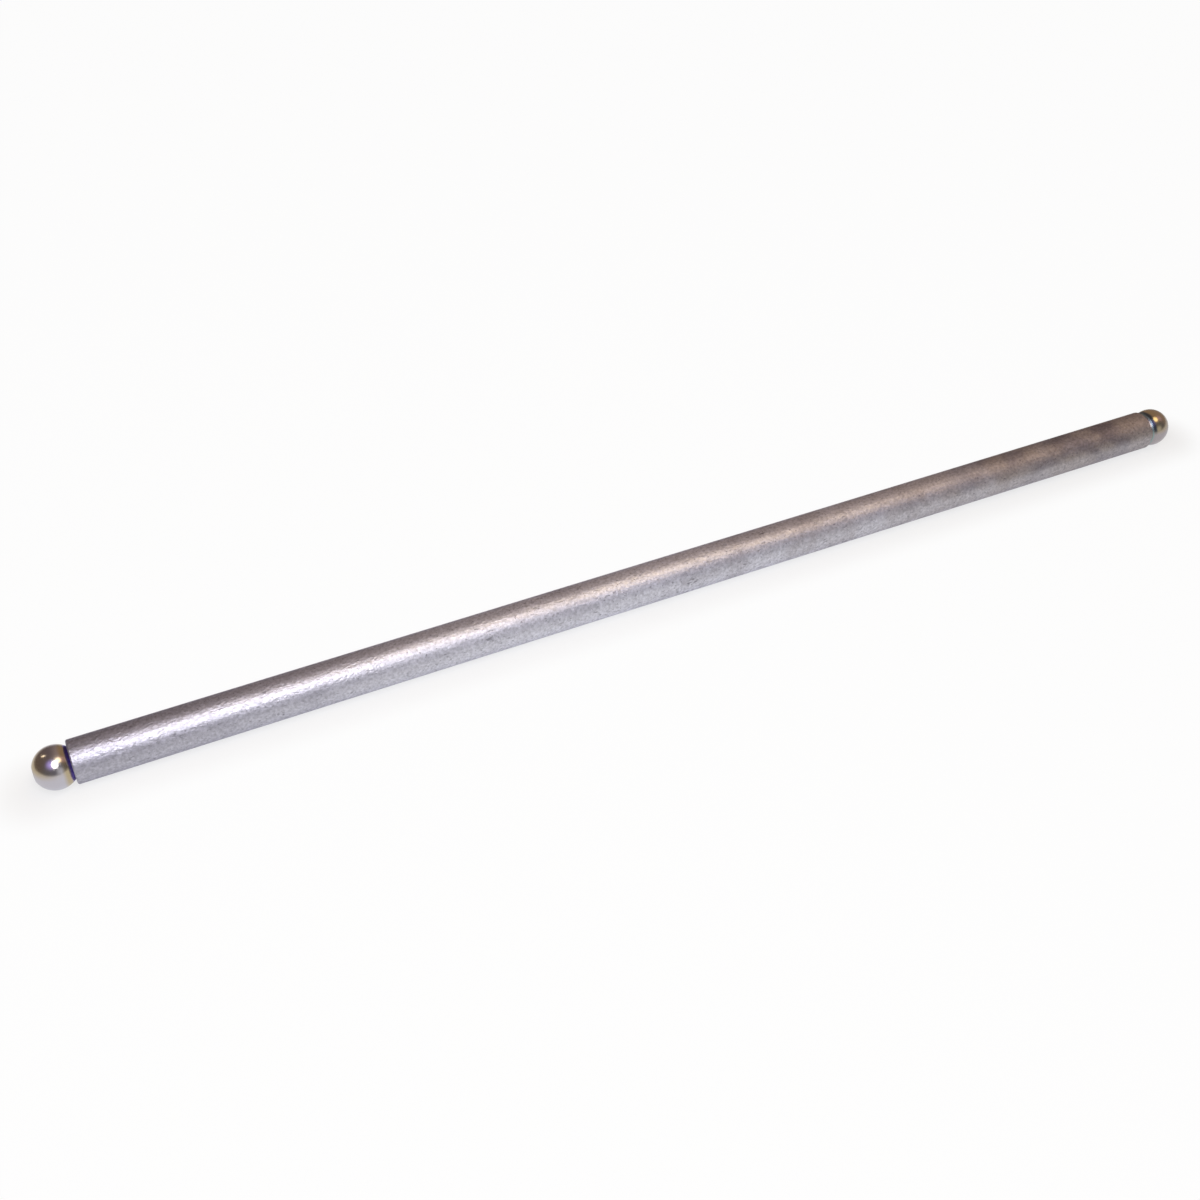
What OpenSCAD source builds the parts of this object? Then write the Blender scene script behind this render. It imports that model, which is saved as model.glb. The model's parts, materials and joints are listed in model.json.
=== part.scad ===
// Engine pushrod: a straight steel tube with a hardened ball end pressed into each of its ends.
// The rod lies along X with its middle at the origin, and oil can pass through its whole length.

/* [Rod] */
// Overall length, from the rim of one oil hole to the rim of the other
overall_length = 241.2; // [120:0.1:320]

/* [Tube] */
// Outside diameter of the tube
tube_od = 7.94; // [7:0.01:10]
// Wall thickness of the tube
tube_wall = 1.65; // [1.2:0.05:2.2]
// Chamfer on the outer edge of each tube end
tube_edge_break = 0.2; // [0.05:0.05:0.4]
// Lead-in chamfer at each mouth of the tube's bore
bore_lead_in = 0.25; // [0.1:0.05:0.4]

/* [Ball ends] */
// Diameter of the ball
ball_d = 7.82; // [7:0.01:10]
// Distance from the tube's end face to the centre of the ball
ball_stand_off = 2.65; // [1.5:0.05:5]
// Width of the ring under the ball that seats on the tube's end face
shoulder_width = 0.6; // [0.45:0.05:1.2]
// Length of the shank that is pressed into the bore
shank_length = 12; // [5:0.5:30]
// Chamfer that leads the shank into the bore
shank_lead_in = 0.5; // [0.1:0.1:0.8]

/* [Oil passage] */
// Diameter of the oil hole drilled through each ball end
oil_hole_d = 2.2; // [1.2:0.1:2.8]
// Chamfer round the oil hole where it leaves the ball
oil_mouth_chamfer = 0.2; // [0.05:0.05:0.5]

/* [Hidden] */
$fn = 96;

tube_r = tube_od / 2;
bore_r = tube_r - tube_wall;
ball_r = ball_d / 2;
// The shank and the bore share one radius, so they meet as a press fit does.
shank_r = bore_r;
shoulder_r = bore_r + shoulder_width;
oil_r = oil_hole_d / 2;
oil_mouth_r = oil_r + oil_mouth_chamfer;
// From the ball's centre to the rim of its oil hole
tip_height = sqrt(ball_r * ball_r - oil_mouth_r * oil_mouth_r);
// From the tube's end face to the rim of the oil hole
end_reach = ball_stand_off + tip_height;
tube_length = overall_length - 2 * end_reach;
// How far a drill runs past the metal at each end of its cut
drill_overrun = 1;

// Half section of the tube: radius along x, length along y, both mouths chamfered inside and out.
module tube_section() {
    half_length = tube_length / 2;
    polygon([
        [bore_r + bore_lead_in, -half_length],
        [tube_r - tube_edge_break, -half_length],
        [tube_r, tube_edge_break - half_length],
        [tube_r, half_length - tube_edge_break],
        [tube_r - tube_edge_break, half_length],
        [bore_r + bore_lead_in, half_length],
        [bore_r, half_length - bore_lead_in],
        [bore_r, bore_lead_in - half_length]
    ]);
}

// Half section of the ball: a circle cut off flat where its shoulder meets the tube.
module ball_section() {
    intersection() {
        translate([0, ball_stand_off]) circle(r = ball_r);
        square([ball_r, ball_stand_off + ball_r]);
    }
    square([shoulder_r, ball_stand_off]);
}

// Half section of the shank, which runs from the middle of the ball down to a chamfered nose.
module shank_section() {
    polygon([
        [0, -shank_length],
        [shank_r - shank_lead_in, -shank_length],
        [shank_r, shank_lead_in - shank_length],
        [shank_r, ball_stand_off],
        [0, ball_stand_off]
    ]);
}

// Half section of the oil hole, which widens into its chamfered mouth on the ball.
module oil_hole_section() {
    chamfer_start = end_reach - oil_mouth_chamfer;
    polygon([
        [0, -shank_length - drill_overrun],
        [oil_r, -shank_length - drill_overrun],
        [oil_r, chamfer_start],
        [oil_mouth_r + drill_overrun, end_reach + drill_overrun],
        [0, end_reach + drill_overrun]
    ]);
}

// A ball end on the Z axis: tube's end face at zero, ball above it and shank below.
module ball_end() {
    rotate_extrude() difference() {
        union() {
            ball_section();
            shank_section();
        }
        oil_hole_section();
    }
}

module tube() {
    color([0.62, 0.61, 0.63])
        rotate([0, 90, 0]) rotate_extrude() tube_section();
}

module tappet_ball_end() {
    color([0.66, 0.60, 0.50])
        translate([-tube_length / 2, 0, 0]) rotate([0, -90, 0]) ball_end();
}

module rocker_ball_end() {
    color([0.66, 0.60, 0.50])
        translate([tube_length / 2, 0, 0]) rotate([0, 90, 0]) ball_end();
}

tube();
tappet_ball_end();
rocker_ball_end();
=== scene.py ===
# Engine pushrod: finish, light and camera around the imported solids
import json
import math

import bmesh
import bpy
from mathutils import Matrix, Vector


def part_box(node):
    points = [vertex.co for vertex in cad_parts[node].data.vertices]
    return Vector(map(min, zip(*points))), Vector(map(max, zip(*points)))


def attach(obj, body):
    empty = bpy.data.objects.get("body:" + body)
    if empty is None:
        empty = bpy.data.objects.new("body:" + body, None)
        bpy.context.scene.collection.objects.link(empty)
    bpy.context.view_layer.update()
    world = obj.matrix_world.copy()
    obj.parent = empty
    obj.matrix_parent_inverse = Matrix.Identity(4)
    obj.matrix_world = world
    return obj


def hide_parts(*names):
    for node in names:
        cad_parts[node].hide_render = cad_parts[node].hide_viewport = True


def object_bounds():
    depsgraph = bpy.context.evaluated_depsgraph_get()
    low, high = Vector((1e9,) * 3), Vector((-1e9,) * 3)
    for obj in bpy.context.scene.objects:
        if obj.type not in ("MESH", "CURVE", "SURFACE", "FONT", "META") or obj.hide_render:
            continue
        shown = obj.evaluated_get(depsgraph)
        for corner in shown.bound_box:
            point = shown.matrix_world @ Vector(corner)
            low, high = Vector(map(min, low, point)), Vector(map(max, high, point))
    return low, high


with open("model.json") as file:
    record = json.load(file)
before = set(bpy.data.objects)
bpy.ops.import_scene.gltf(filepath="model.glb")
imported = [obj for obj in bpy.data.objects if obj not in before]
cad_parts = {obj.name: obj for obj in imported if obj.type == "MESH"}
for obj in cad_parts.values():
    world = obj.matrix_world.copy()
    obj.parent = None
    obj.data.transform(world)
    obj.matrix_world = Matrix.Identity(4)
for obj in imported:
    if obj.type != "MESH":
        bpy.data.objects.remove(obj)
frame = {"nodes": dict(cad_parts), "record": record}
cadLow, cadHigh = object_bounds()
scene = bpy.context.scene
scene.view_settings.view_transform = "Standard"
mm = 0.001  # the sizes below are in millimetres, Blender works in metres
print("frame loaded:", ", ".join(sorted(frame["nodes"])))


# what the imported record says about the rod's own sizes
def mountOf(name):
    return next(m for m in frame["record"]["mounts"] if m["name"] == name)


rod = {
    "tubeRadius": mountOf("guide_diameter")["dims"]["r_mm"],
    "ballRadius": mountOf("rocker_ball")["dims"]["r_mm"],
    "ballCentre": mountOf("rocker_ball")["pos_m"][0] / mm,  # from the middle of the rod
    "oilRadius": mountOf("rocker_oil_hole")["dims"]["r_mm"],
    "tubeEnd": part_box("tube")[1].x / mm,
    "tip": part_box("rocker_ball_end")[1].x / mm,
    "shankEnd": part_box("rocker_ball_end")[0].x / mm,
}


# camera
cameraSetup = {
    "lens": 45.0,
    "sensor": 36.0,
    "clip": (0.01, 50.0),  # metres
    "azimuth": -25.0,  # degrees round the rod, from straight in front
    "elevation": 41.9,
    "aim": (-15.58, -0.575, 0.045),  # mm, where the middle of the picture meets the rod's level
    "distance": 285.2,  # mm from the aim
}


def makeCamera(setup):
    data = bpy.data.cameras.new("camera")
    data.lens = setup["lens"]
    data.sensor_width = setup["sensor"]
    data.clip_start, data.clip_end = setup["clip"]
    camera = bpy.data.objects.new("camera", data)
    scene.collection.objects.link(camera)
    a = math.radians(setup["azimuth"])
    e = math.radians(setup["elevation"])
    back = Vector((math.sin(a) * math.cos(e), -math.cos(a) * math.cos(e), math.sin(e)))
    camera.location = (Vector(setup["aim"]) + back * setup["distance"]) * mm
    camera.rotation_mode = "QUATERNION"
    camera.rotation_quaternion = (-back).to_track_quat("-Z", "Y")
    scene.camera = camera


makeCamera(cameraSetup)
print("camera placed")


# node helpers
def newMaterial(name):
    material = bpy.data.materials.new(name)
    material.use_nodes = True
    tree = material.node_tree
    tree.nodes.clear()
    output = tree.nodes.new("ShaderNodeOutputMaterial")
    shader = tree.nodes.new("ShaderNodeBsdfPrincipled")
    tree.links.new(shader.outputs["BSDF"], output.inputs["Surface"])
    return material, tree, shader


def put(tree, target, value):  # a value or another node's socket into an input
    if isinstance(value, bpy.types.NodeSocket):
        tree.links.new(value, target)
    elif hasattr(target.default_value, "__len__") and not hasattr(value, "__len__"):
        target.default_value = [value] * len(target.default_value)
    elif hasattr(value, "__len__") and len(value) < len(target.default_value):
        target.default_value = (*value, 1.0)
    else:
        target.default_value = value


def math2(tree, operation, a, b=0.0):
    node = tree.nodes.new("ShaderNodeMath")
    node.operation = operation
    put(tree, node.inputs[0], a)
    put(tree, node.inputs[1], b)
    return node.outputs[0]


def mapRange(tree, value, fromLow, fromHigh, toLow=0.0, toHigh=1.0, smooth=True):
    node = tree.nodes.new("ShaderNodeMapRange")
    node.interpolation_type = "SMOOTHSTEP" if smooth else "LINEAR"
    put(tree, node.inputs["Value"], value)
    for name, x in (("From Min", fromLow), ("From Max", fromHigh), ("To Min", toLow), ("To Max", toHigh)):
        put(tree, node.inputs[name], x)
    return node.outputs["Result"]


def upTo(tree, distance, limit, soft, share=1.0):  # the share inside a limit, with a soft edge
    return mapRange(tree, distance, limit + soft, limit - soft, 0.0, share)


def mixColour(tree, share, a, b, blend="MIX"):
    node = tree.nodes.new("ShaderNodeMix")
    node.data_type = "RGBA"
    node.blend_type = blend
    put(tree, node.inputs["Factor"], share)
    put(tree, node.inputs["A"], a)
    put(tree, node.inputs["B"], b)
    return node.outputs["Result"]


def rodPoint(tree, stretch=(1.0, 1.0, 1.0)):  # the piece's own coordinates, in millimetres
    place = tree.nodes.new("ShaderNodeTexCoord")
    scale = tree.nodes.new("ShaderNodeVectorMath")
    scale.operation = "MULTIPLY"
    tree.links.new(place.outputs["Object"], scale.inputs[0])
    scale.inputs[1].default_value = [k / mm for k in stretch]
    return scale.outputs["Vector"]


def noise(tree, point, size, detail=2.0, rough=0.5, distortion=0.0):  # size in mm
    node = tree.nodes.new("ShaderNodeTexNoise")
    node.inputs["Scale"].default_value = 1.0 / size
    node.inputs["Detail"].default_value = detail
    node.inputs["Roughness"].default_value = rough
    node.inputs["Distortion"].default_value = distortion
    tree.links.new(point, node.inputs["Vector"])
    return node.outputs["Fac"]


def axes(tree, point):  # its sockets are named X, Y and Z
    node = tree.nodes.new("ShaderNodeSeparateXYZ")
    tree.links.new(point, node.inputs[0])
    return node.outputs


def bump(tree, height, depth, normal=None):  # depth in mm for a height of 0 to 1
    node = tree.nodes.new("ShaderNodeBump")
    node.inputs["Strength"].default_value = 1.0
    node.inputs["Distance"].default_value = depth * mm
    tree.links.new(height, node.inputs["Height"])
    if normal is not None:
        tree.links.new(normal, node.inputs["Normal"])
    return node.outputs["Normal"]


def metal(tree, shader, colour, rough, normal):
    shader.inputs["Metallic"].default_value = 1.0
    put(tree, shader.inputs["Base Color"], colour)
    put(tree, shader.inputs["Roughness"], rough)
    put(tree, shader.inputs["Normal"], normal)


def mirrorRay(tree, path):  # 1 for what a reflection sees
    return math2(tree, "MAXIMUM", path.outputs["Is Glossy Ray"], path.outputs["Is Transmission Ray"])


# finishes, with sizes in mm, bands as the span of a noise that counts, and stretches that lengthen
# a pattern along each axis where they are under 1
noiseBand = (0.3, 0.7)  # nearly all values of a noise
tubeFinish = {
    "steel": (0.735, 0.74, 0.79),
    "mottleSize": 2.8,
    "cloudSize": 9.0,
    "stain": (0.59, 0.585, 0.63),
    "stainCloud": (0.40, 0.70),
    "stainMottle": (0.35, 0.65),
    "stainShare": (0.2, 0.8),
    "raggedCloud": 60.0,  # mm that the noises shift the edges of the next two along the rod
    "raggedMottle": 35.0,
    "cover": 0.95,  # their greatest share
    "tappetEndShade": (0.50, 0.495, 0.545),  # painted shade: the metal darker towards the tappet end
    "tappetEndShadeReach": (-25.0, -115.0),  # mm along the rod, from none to full
    "oxideAndPaintedShade": (0.42, 0.367, 0.317),  # brown towards the rocker end: partly a brown skin, partly painted shade that dims the tube there and painted reflection of the brown room to the right
    "oxideAndPaintedShadeReach": (-5.0, 108.0),
    "brownShareBelow": 0.64,  # painted reflection: less of the brown on the lower side, which reflects the pale floor, so that it shows mostly on the upper side
    "brownSideHeight": (0.2, 2.2),  # mm above the axis, where that changes
    "oxideRoughness": 0.60,
    "blotch": (0.245, 0.213, 0.21),  # darker patches where the skin is thick
    "blotchSize": 5.5,
    "blotchStretch": (0.7, 1.0, 1.0),
    "blotchBand": (0.42, 0.66),
    "blotchShare": 0.95,
    "blotchSkin": (0.30, 0.70),
    "speckleSize": 0.55,
    "speckle": (0.80, 1.20),  # times the colour
    "pit": (0.16, 0.155, 0.175),
    "pitSize": 0.7,
    "pitStretch": (0.35, 1.0, 1.0),
    "pitBand": (0.60, 0.74),
    "pitZoneSize": 11.0,
    "pitZoneBand": (0.48, 0.64),
    "pitShare": 0.65,
    "pitDepth": 0.3,  # share of the grain's depth
    "speckSize": 0.38,
    "speckStretch": (0.7, 1.0, 1.0),
    "speckBand": (0.64, 0.76),
    "speckShare": 0.55,
    "roughness": (0.42, 0.54),
    "grainSize": 0.42,
    "grainStretch": (0.6, 1.0, 1.0),
    "grainDepth": 0.085,
    "drawnSize": 0.35,  # lines from drawing the tube
    "drawnStretch": (0.04, 1.0, 1.0),
    "drawnDepth": 0.1,  # share of the grain's depth
    "dimpleSize": 2.2,
    "dimpleDepth": 0.008,
    "edgeTint": (0.58, 0.56, 0.63),  # darkens the metal where it is seen at a grazing angle
}


def tubeSteel(finish):
    material, tree, shader = newMaterial("satinTubeSteel")
    point = rodPoint(tree)
    place = axes(tree, point)
    grain = noise(tree, rodPoint(tree, finish["grainStretch"]), finish["grainSize"], 1.5, 0.6, 0.2)
    dimples = noise(tree, point, finish["dimpleSize"], 1.0, 0.5)
    mottle = noise(tree, point, finish["mottleSize"], 3.0, 0.6)
    cloud = noise(tree, point, finish["cloudSize"], 3.0, 0.55)
    drawn = noise(tree, rodPoint(tree, finish["drawnStretch"]), finish["drawnSize"], 2.0, 0.5)

    clouded = mapRange(tree, cloud, *finish["stainCloud"])
    mottled = mapRange(tree, mottle, *finish["stainMottle"], *finish["stainShare"])
    stain = math2(tree, "MULTIPLY", clouded, mottled)
    colour = mixColour(tree, stain, finish["steel"], finish["stain"])

    shiftCloud = math2(tree, "MULTIPLY", cloud, finish["raggedCloud"])
    shiftMottle = math2(tree, "MULTIPLY", mottle, finish["raggedMottle"])
    shift = math2(tree, "ADD", shiftCloud, shiftMottle)
    meanShift = (finish["raggedCloud"] + finish["raggedMottle"]) / 2
    ragged = math2(tree, "ADD", place["X"], math2(tree, "SUBTRACT", shift, meanShift))
    # painted shade: darker towards the tappet end
    tappetEndShade = mapRange(tree, ragged, *finish["tappetEndShadeReach"], 0.0, finish["cover"])
    colour = mixColour(tree, tappetEndShade, colour, finish["tappetEndShade"])

    # partly oxide, partly painted shade and painted brown reflection towards the rocker end
    oxideAndPaintedShade = mapRange(tree, ragged, *finish["oxideAndPaintedShadeReach"], 0.0, finish["cover"])
    # painted reflection: the brown kept mostly to the upper side
    paintedUpperSide = mapRange(tree, place["Z"], *finish["brownSideHeight"], finish["brownShareBelow"], 1.0)
    oxideAndPaintedShade = math2(tree, "MULTIPLY", oxideAndPaintedShade, paintedUpperSide)
    blotches = noise(tree, rodPoint(tree, finish["blotchStretch"]), finish["blotchSize"], 2.0, 0.5)
    blotch = mapRange(tree, blotches, *finish["blotchBand"], 0.0, finish["blotchShare"])
    blotch = math2(tree, "MULTIPLY", blotch, mapRange(tree, oxideAndPaintedShade, *finish["blotchSkin"]))
    brown = mixColour(tree, blotch, finish["oxideAndPaintedShade"], finish["blotch"])
    colour = mixColour(tree, oxideAndPaintedShade, colour, brown)

    speckle = noise(tree, point, finish["speckleSize"], 2.0, 0.6)
    speckle = mapRange(tree, speckle, *noiseBand, *finish["speckle"], smooth=False)
    colour = mixColour(tree, 1.0, colour, speckle, "MULTIPLY")
    pits = noise(tree, rodPoint(tree, finish["pitStretch"]), finish["pitSize"], 2.0, 0.6)
    pits = mapRange(tree, pits, *finish["pitBand"])
    pitZones = noise(tree, point, finish["pitZoneSize"], 1.0, 0.5)
    pits = math2(tree, "MULTIPLY", pits, mapRange(tree, pitZones, *finish["pitZoneBand"]))
    specks = noise(tree, rodPoint(tree, finish["speckStretch"]), finish["speckSize"], 1.0)
    specks = mapRange(tree, specks, *finish["speckBand"], 0.0, finish["speckShare"])
    dark = math2(tree, "MAXIMUM", math2(tree, "MULTIPLY", pits, finish["pitShare"]), specks)
    colour = mixColour(tree, dark, colour, finish["pit"])

    rough = mapRange(tree, grain, *noiseBand, *finish["roughness"], smooth=False)
    rough = mapRange(tree, oxideAndPaintedShade, 0.0, finish["cover"], rough, finish["oxideRoughness"], smooth=False)
    height = math2(tree, "ADD", grain, math2(tree, "MULTIPLY", drawn, finish["drawnDepth"]))
    height = math2(tree, "SUBTRACT", height, math2(tree, "MULTIPLY", pits, finish["pitDepth"]))
    normal = bump(tree, height, finish["grainDepth"])
    normal = bump(tree, dimples, finish["dimpleDepth"], normal)
    put(tree, shader.inputs["Specular Tint"], finish["edgeTint"])
    metal(tree, shader, colour, rough, normal)
    return material


# in the pairs, -1 is the tappet end and 1 the rocker end; reaches are mm outward from the tube's end face
ballFinish = {
    "steel": {-1: (0.60, 0.59, 0.64), 1: (0.475, 0.445, 0.465)},
    "cloudSize": 1.6,
    "wander": 0.35,  # mm that the bands' edges wander by
    "straw": (0.53, 0.42, 0.20),
    "strawReach": {-1: (0.8, 6.6), 1: (6.1, 1.1)},  # from the lower share to the higher
    "strawShare": {-1: (0.12, 0.80), 1: (0.38, 0.80)},
    "upperHeight": (0.4, 2.0),  # mm above the axis, where the tint grows
    "tintBelow": 0.08,  # share of it on the underside; kept to the upper side, the tint is partly heat tint and partly a painted reflection of the brown room above
    "strawRing": (2.1, 1.0),  # another ring of straw by the tappet neck
    "strawRingShare": 0.8,
    # blue at each neck, partly heat tint and partly painted light: at the tappet the violet stands in for
    # the coloured fringe of the tube's highlight over shade in the groove, at the rocker the dark navy is a
    # painted dark reflection
    "blue": {-1: (0.19, 0.135, 0.52), 1: (0.12, 0.15, 0.17)},
    "blueTo": {-1: 0.56, 1: 1.50},  # it reaches further on the rocker ball
    "blueSoft": 0.2,
    "blueShare": 0.95,
    "paintedGlint": (0.33, 0.44, 0.42),  # a painted glint: a lighter teal strip next to the tube on the rocker ball, where the flash's reflection shows past the tube's end
    "paleTo": 0.92,
    "paleSoft": 0.15,
    "paleRoughness": 0.38,
    "brown": (0.36, 0.31, 0.27),  # partly painted shade where ball and tube meet, partly the tube's brown running onto the shoulder
    "brownTo": 0.62,
    "brownSoft": 0.12,
    "roughness": {-1: (0.17, 0.25), 1: (0.18, 0.26)},
    "ringSize": 0.09,  # rings left by the lathe
    "ringStretch": (1.0, 0.03, 0.03),
    "ringDepth": 0.0006,
    "orangePeelSize": 0.6,
    "orangePeel": 0.0015,
}


def ballSteel(finish, side):
    rocker = side > 0
    material, tree, shader = newMaterial("polishedBallSteel" + ("Rocker" if rocker else "Tappet"))
    point = rodPoint(tree)
    place = axes(tree, point)
    outward = math2(tree, "SUBTRACT", math2(tree, "MULTIPLY", place["X"], side), rod["tubeEnd"])
    cloud = noise(tree, point, finish["cloudSize"], 3.0, 0.55)
    wander = math2(tree, "MULTIPLY", math2(tree, "SUBTRACT", cloud, 0.5), finish["wander"])
    edge = math2(tree, "ADD", outward, wander)
    paintedUpperSide = mapRange(tree, place["Z"], *finish["upperHeight"], finish["tintBelow"], 1.0)

    straw = mapRange(tree, edge, *finish["strawReach"][side], *finish["strawShare"][side])
    # partly heat tint, partly painted reflection on the upper side
    straw = math2(tree, "MULTIPLY", straw, paintedUpperSide)
    if not rocker:
        ring = mapRange(tree, edge, *finish["strawRing"], 0.0, finish["strawRingShare"])
        straw = math2(tree, "MAXIMUM", straw, ring)
    colour = mixColour(tree, straw, finish["steel"][side], finish["straw"])
    # painted highlight fringe and painted dark reflection at the necks, with some heat tint
    blue = upTo(tree, edge, finish["blueTo"][side], finish["blueSoft"], finish["blueShare"])
    if rocker:
        blue = math2(tree, "MULTIPLY", blue, paintedUpperSide)
    colour = mixColour(tree, blue, colour, finish["blue"][side])
    rough = mapRange(tree, cloud, *noiseBand, *finish["roughness"][side], smooth=False)
    if rocker:
        # painted glint beside the tube's end; its roughness is raised there too
        paintedGlint = upTo(tree, edge, finish["paleTo"], finish["paleSoft"])
        # painted shade at the join, with the tube's brown
        brown = upTo(tree, edge, finish["brownTo"], finish["brownSoft"])
        colour = mixColour(tree, paintedGlint, colour, finish["paintedGlint"])
        colour = mixColour(tree, brown, colour, finish["brown"])
        rough = mapRange(tree, paintedGlint, 0.0, 1.0, rough, finish["paleRoughness"], smooth=False)

    rings = noise(tree, rodPoint(tree, finish["ringStretch"]), finish["ringSize"], 1.0, 0.5)
    peel = noise(tree, point, finish["orangePeelSize"], 2.0, 0.5)
    normal = bump(tree, rings, finish["ringDepth"])
    normal = bump(tree, peel, finish["orangePeel"], normal)
    metal(tree, shader, colour, rough, normal)
    return material


# turned meshes
def cornerArc(before, corner, after, radius, steps=4):  # a small round in place of a sharp corner
    toBefore = (Vector(before) - Vector(corner)).normalized()
    toAfter = (Vector(after) - Vector(corner)).normalized()
    half = toBefore.angle(toAfter) / 2
    cut = radius / math.tan(half)
    middle = Vector(corner) + (toBefore + toAfter).normalized() * (radius / math.sin(half))
    start = Vector(corner) + toBefore * cut
    end = Vector(corner) + toAfter * cut
    points = [start + toBefore * radius * 0.5]  # one more ring keeps the long faces' shading straight
    for i in range(steps + 1):
        p = start.lerp(end, i / steps)
        points.append(middle + (p - middle).normalized() * radius)
    points.append(end + toAfter * radius * 0.5)
    return points


def softOutline(outline):  # outline holds (x, r) or (x, r, corner radius), all the way round
    points = []
    for i, item in enumerate(outline):
        corner = item[:2]
        if len(item) == 2:
            points.append(Vector(corner))
            continue
        before = outline[i - 1][:2]
        after = outline[(i + 1) % len(outline)][:2]
        points.extend(cornerArc(before, corner, after, item[2]))
    return points


def meshObject(name, mesh):
    data = bpy.data.meshes.new(name)
    mesh.to_mesh(data)
    mesh.free()
    made = bpy.data.objects.new(name, data)
    scene.collection.objects.link(made)
    return made


def turn(name, outline, segments, maxStep):  # revolves the closed half section round the rod's axis
    points = softOutline(outline)
    section = []
    for i, p in enumerate(points):
        q = points[(i + 1) % len(points)]
        steps = max(1, math.ceil((q - p).length / maxStep))
        for k in range(steps):
            section.append(p.lerp(q, k / steps))
    mesh = bmesh.new()
    rings = []
    for p in section:
        ring = []
        for s in range(segments):
            angle = 2 * math.pi * s / segments
            corner = Vector((p.x, p.y * math.cos(angle), p.y * math.sin(angle)))
            ring.append(mesh.verts.new(corner * mm))
        rings.append(ring)
    for i, ring in enumerate(rings):
        following = rings[(i + 1) % len(rings)]
        for s in range(segments):
            t = (s + 1) % segments
            mesh.faces.new((ring[s], ring[t], following[t], following[s]))
    bmesh.ops.recalc_face_normals(mesh, faces=mesh.faces)
    for face in mesh.faces:
        face.smooth = True
    return meshObject(name, mesh)


def finishPiece(piece, node, material):
    piece.data.materials.append(material)
    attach(piece, "root")
    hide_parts(node)
    print(piece.name, "stands for", node, "with", len(piece.data.polygons), "faces")


# tube
tubeShape = {
    "boreRadius": 2.32,
    "edgeBreak": 0.2,
    "boreLeadIn": 0.25,
    "corner": 0.05,  # round left on each edge
    "segments": 144,
    "ringStep": 2.0,
}


def tubeOutline(shape):
    r = rod["tubeRadius"]
    bore = shape["boreRadius"]
    end = rod["tubeEnd"]
    edge = shape["edgeBreak"]
    lead = shape["boreLeadIn"]
    c = shape["corner"]
    return [
        (-end, bore + lead, c),
        (-end, r - edge, c),
        (-end + edge, r, c),
        (end - edge, r, c),
        (end, r - edge, c),
        (end, bore + lead, c),
        (end - lead, bore, c),
        (-end + lead, bore, c),
    ]


tube = turn("tubeTurned", tubeOutline(tubeShape), tubeShape["segments"], tubeShape["ringStep"])
finishPiece(tube, "tube", tubeSteel(tubeFinish))


# ball ends
ballShape = {
    "shankRadius": 2.32,
    "shoulderWidth": 0.6,
    "shankLeadIn": 0.5,
    "mouthChamfer": 0.2,
    "corner": 0.04,
    "segments": 144,
    "arcSteps": 72,
    "ringStep": 1.0,
}


def ballOutline(shape, side):
    oil = rod["oilRadius"]
    mouth = oil + shape["mouthChamfer"]
    shank = shape["shankRadius"]
    shoulder = shank + shape["shoulderWidth"]
    ball = rod["ballRadius"]
    c = shape["corner"]
    first = math.asin(mouth / ball)  # angles from the tip, where the ball starts and stops
    last = math.pi - math.asin(shoulder / ball)
    arc = []
    for i in range(shape["arcSteps"] + 1):
        angle = first + (last - first) * i / shape["arcSteps"]
        arc.append((rod["ballCentre"] + ball * math.cos(angle), ball * math.sin(angle)))
    outline = [(rod["shankEnd"], oil, c), (rod["tip"] - shape["mouthChamfer"], oil, c)]
    outline += arc
    outline += [
        (rod["tubeEnd"], shoulder),
        (rod["tubeEnd"], shank, c),
        (rod["shankEnd"] + shape["shankLeadIn"], shank, c),
        (rod["shankEnd"], shank - shape["shankLeadIn"], c),
    ]
    return [(side * item[0], *item[1:]) for item in outline]


ballPieces = (("tappetBallTurned", "tappet_ball_end", -1), ("rockerBallTurned", "rocker_ball_end", 1))
for name, node, side in ballPieces:
    ballEnd = turn(name, ballOutline(ballShape, side), ballShape["segments"], ballShape["ringStep"])
    finishPiece(ballEnd, node, ballSteel(ballFinish, side))


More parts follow.
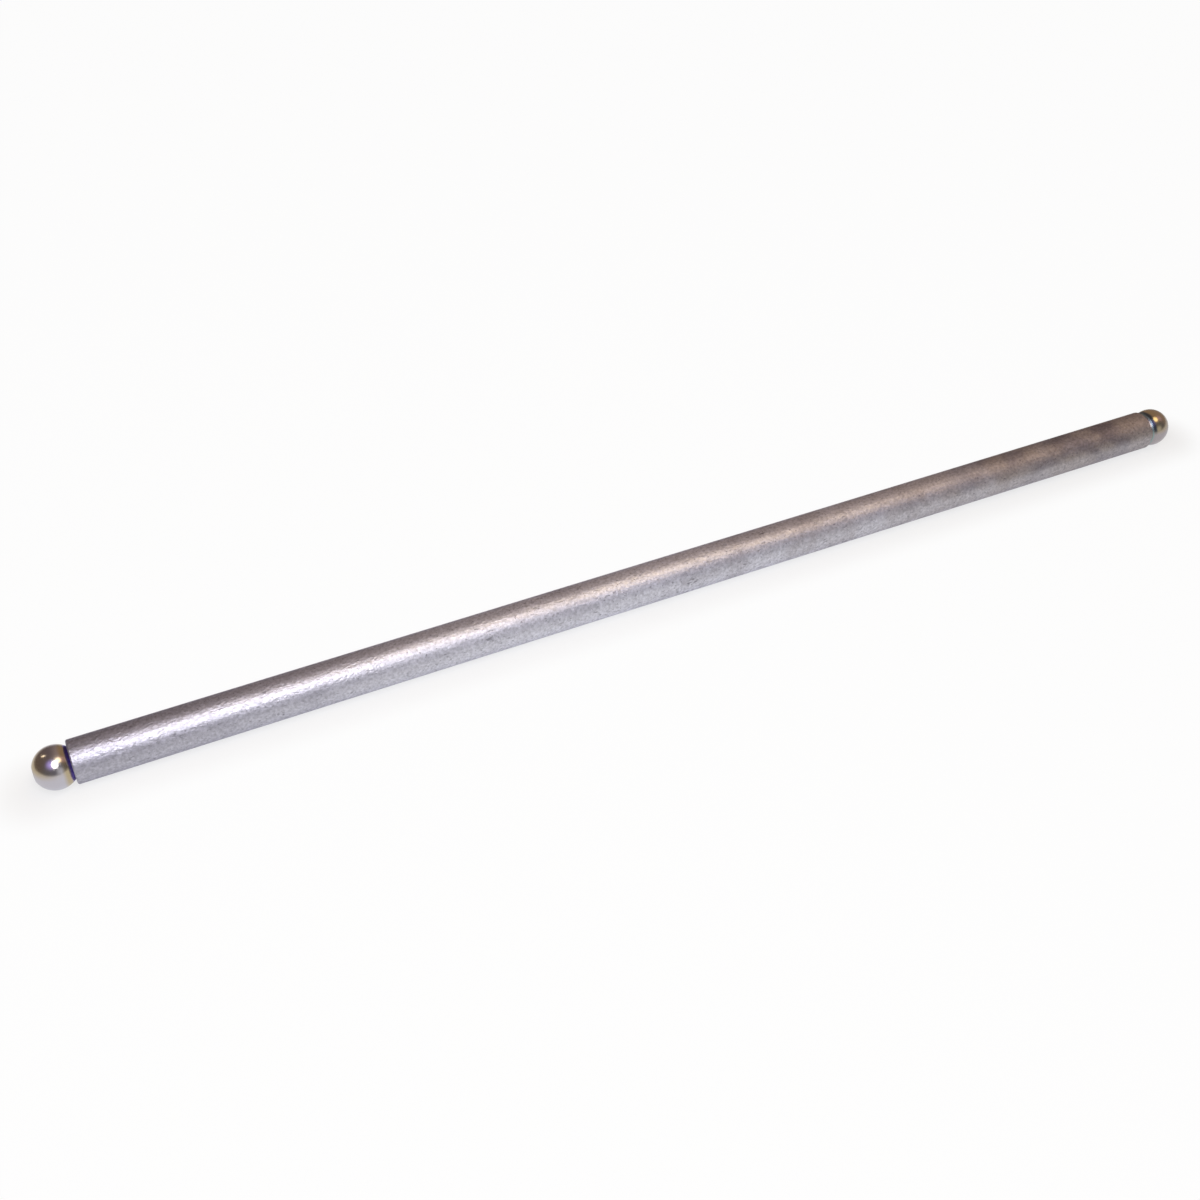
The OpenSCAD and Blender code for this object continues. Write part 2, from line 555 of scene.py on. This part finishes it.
# floor and light
studio = {
    "floorColour": (0.90, 0.90, 0.92),
    "floorShadowInMetal": (0.42, 0.39, 0.43),  # a painted shadow: the floor darker where reflections see it behind the rod
    "shadowBehindReach": (14.0, 45.0),  # mm behind the rod's line, where that comes in
    "floorRoughness": 0.9,
    "floorSpecular": 0.1,
    "floorSize": 8.0,  # metres across
    "glowNear": 0.72,  # share of plain white that the floor shows the camera beside the rod
    "glowFar": 0.96,  # and further off; the rest takes light and shadow
    "glowReach": (2.0, 11.0),  # mm from the rod's line
    "glowInMetal": (0.53, 0.10),  # the share that reflections see, in front of the rod and behind it, where the smaller share is painted shadow
    "glowTint": (0.93, 0.95, 1.0),  # and its colour there
    "roomFar": (0.119, 0.083, 0.09),
    "roomNear": (0.117, 0.112, 0.149),
    "nearReach": (0.1, -0.6),  # reaches in the room are along the direction of sight, of length 1
    "roomRight": (0.32, 0.229, 0.186),
    "rightReach": (-0.15, 0.45),
    "window": (0.595, 0.595, 0.638),  # the room's lighter patch
    "windowDirection": (0.33, -0.90, 0.27),
    "windowReach": 0.45,
    "violet": (0.55, 0.43, 1.22),  # a tinted patch beside the flash
    "violetDirection": (-0.31, -0.43, 0.85),
    "violetReach": 0.54,
    "pink": (0.52, 0.34, 0.48),  # and another beside the warm lamp
    "pinkDirection": (0.70, -0.10, 0.72),
    "pinkReach": 0.35,
    "patchCore": 0.1,  # each patch is full within this
    "horizon": (0.595, 0.585, 0.595),
    "horizonReach": (0.14, 0.02),  # upward
    "horizonNear": (0.2, -0.4),  # towards the camera
    "horizonFar": 0.1,  # share left behind the rod
    "backdrop": (0.967, 0.967, 0.967),  # plain white behind the floor
    "backdropInMetal": 0.06,
}
lamps = {  # places and sizes in mm, from the middle of the rod
    "flash": {
        "at": (-102, -158, 257),
        "aim": (-60, 0, 0),
        "size": (150, 190),
        "watts": 0.48,
        "colour": (1, 1, 1),
    },
    "warm": {
        "at": (730, -440, 2010),
        "aim": (60, 0, 0),
        "size": (1000, 1000),
        "watts": 6.9,
        "colour": (1, 0.79, 0.48),
    },
    "side": {
        "at": (-567, 534, 569),
        "aim": (-100, 0, 0),
        "size": (60, 240),
        "watts": 0.22,
        "colour": (1, 0.88, 0.68),
    },
}


def floorMaterial(setup):  # plain light where the camera or a reflection sees it, mixed with a dull surface
    material, tree, shader = newMaterial("paleFloor")
    shader.inputs["Roughness"].default_value = setup["floorRoughness"]
    shader.inputs["Specular IOR Level"].default_value = setup["floorSpecular"]
    white = tree.nodes.new("ShaderNodeEmission")
    mix = tree.nodes.new("ShaderNodeMixShader")
    path = tree.nodes.new("ShaderNodeLightPath")
    place = axes(tree, rodPoint(tree))
    y = place["Y"]
    pastTip = math2(tree, "SUBTRACT", math2(tree, "ABSOLUTE", place["X"]), rod["tip"])
    pastTip = math2(tree, "MAXIMUM", pastTip, 0.0)
    away = math2(tree, "ADD", math2(tree, "MULTIPLY", y, y), math2(tree, "MULTIPLY", pastTip, pastTip))
    away = math2(tree, "SQRT", away)
    glow = mapRange(tree, away, *setup["glowReach"], setup["glowNear"], setup["glowFar"])
    seen = math2(tree, "MULTIPLY", path.outputs["Is Camera Ray"], glow)
    mirrored = mirrorRay(tree, path)
    # painted shadow behind the rod, seen only in reflections
    behind = mapRange(tree, y, *setup["shadowBehindReach"])
    mirroredBehind = math2(tree, "MULTIPLY", mirrored, behind)
    colour = mixColour(tree, mirroredBehind, setup["floorColour"], setup["floorShadowInMetal"])
    put(tree, shader.inputs["Base Color"], colour)
    put(tree, white.inputs["Color"], mixColour(tree, mirrored, (1.0, 1.0, 1.0), setup["glowTint"]))
    glowInMetal = mapRange(tree, behind, 0.0, 1.0, *setup["glowInMetal"])
    seen = math2(tree, "MAXIMUM", seen, math2(tree, "MULTIPLY", mirrored, glowInMetal))
    tree.links.new(seen, mix.inputs["Fac"])
    tree.links.new(shader.outputs[0], mix.inputs[1])
    tree.links.new(white.outputs[0], mix.inputs[2])
    output = next(node for node in tree.nodes if node.type == "OUTPUT_MATERIAL")
    tree.links.new(mix.outputs[0], output.inputs["Surface"])
    return material


def makeFloor(setup):
    half = setup["floorSize"] / 2
    mesh = bmesh.new()
    signs = ((-1, -1), (1, -1), (1, 1), (-1, 1))
    mesh.faces.new([mesh.verts.new((x * half, y * half, cadLow.z)) for x, y in signs])
    floor = meshObject("floor", mesh)
    floor.data.materials.append(floorMaterial(setup))


def addLamp(name, setup):
    data = bpy.data.lights.new(name + "Lamp", "AREA")
    data.shape = "ELLIPSE"
    data.size, data.size_y = [side * mm for side in setup["size"]]
    data.energy = setup["watts"]
    data.color = setup["colour"]
    lamp = bpy.data.objects.new(name + "Lamp", data)
    scene.collection.objects.link(lamp)
    lamp.location = Vector(setup["at"]) * mm
    toRod = Vector(setup["aim"]) - Vector(setup["at"])
    lamp.rotation_mode = "QUATERNION"
    lamp.rotation_quaternion = toRod.to_track_quat("-Z", "Y")


def makeRoom(setup):  # a dim room, cooler on the camera's side, browner to the right and pale at the horizon
    world = bpy.data.worlds.new("room")
    scene.world = world
    world.use_nodes = True
    tree = world.node_tree
    tree.nodes.clear()
    output = tree.nodes.new("ShaderNodeOutputWorld")
    background = tree.nodes.new("ShaderNodeBackground")
    tree.links.new(background.outputs[0], output.inputs["Surface"])
    sight = tree.nodes.new("ShaderNodeTexCoord").outputs["Generated"]
    x, y, z = axes(tree, sight)
    colour = mixColour(tree, mapRange(tree, x, *setup["rightReach"]), setup["roomFar"], setup["roomRight"])
    colour = mixColour(tree, mapRange(tree, y, *setup["nearReach"]), colour, setup["roomNear"])
    path = tree.nodes.new("ShaderNodeLightPath")
    mirrored = mirrorRay(tree, path)
    for patch in ("window", "violet", "pink"):
        away = tree.nodes.new("ShaderNodeVectorMath")
        away.operation = "DISTANCE"
        tree.links.new(sight, away.inputs[0])
        away.inputs[1].default_value = Vector(setup[patch + "Direction"]).normalized()
        share = mapRange(tree, away.outputs["Value"], setup[patch + "Reach"], setup["patchCore"])
        if patch != "window":
            share = math2(tree, "MULTIPLY", share, mirrored)  # tints the metal and leaves the floor white
        colour = mixColour(tree, share, colour, setup[patch])
    low = mapRange(tree, z, *setup["horizonReach"])
    low = math2(tree, "MULTIPLY", low, mapRange(tree, y, *setup["horizonNear"], setup["horizonFar"], 1.0))
    colour = mixColour(tree, low, colour, setup["horizon"])
    mirrored = math2(tree, "MULTIPLY", mirrored, setup["backdropInMetal"])
    seen = math2(tree, "MAXIMUM", path.outputs["Is Camera Ray"], mirrored)
    put(tree, background.inputs["Color"], mixColour(tree, seen, colour, setup["backdrop"]))


makeFloor(studio)
for lampName, lampSetup in lamps.items():
    addLamp(lampName, lampSetup)
makeRoom(studio)
print("floor and lights made")
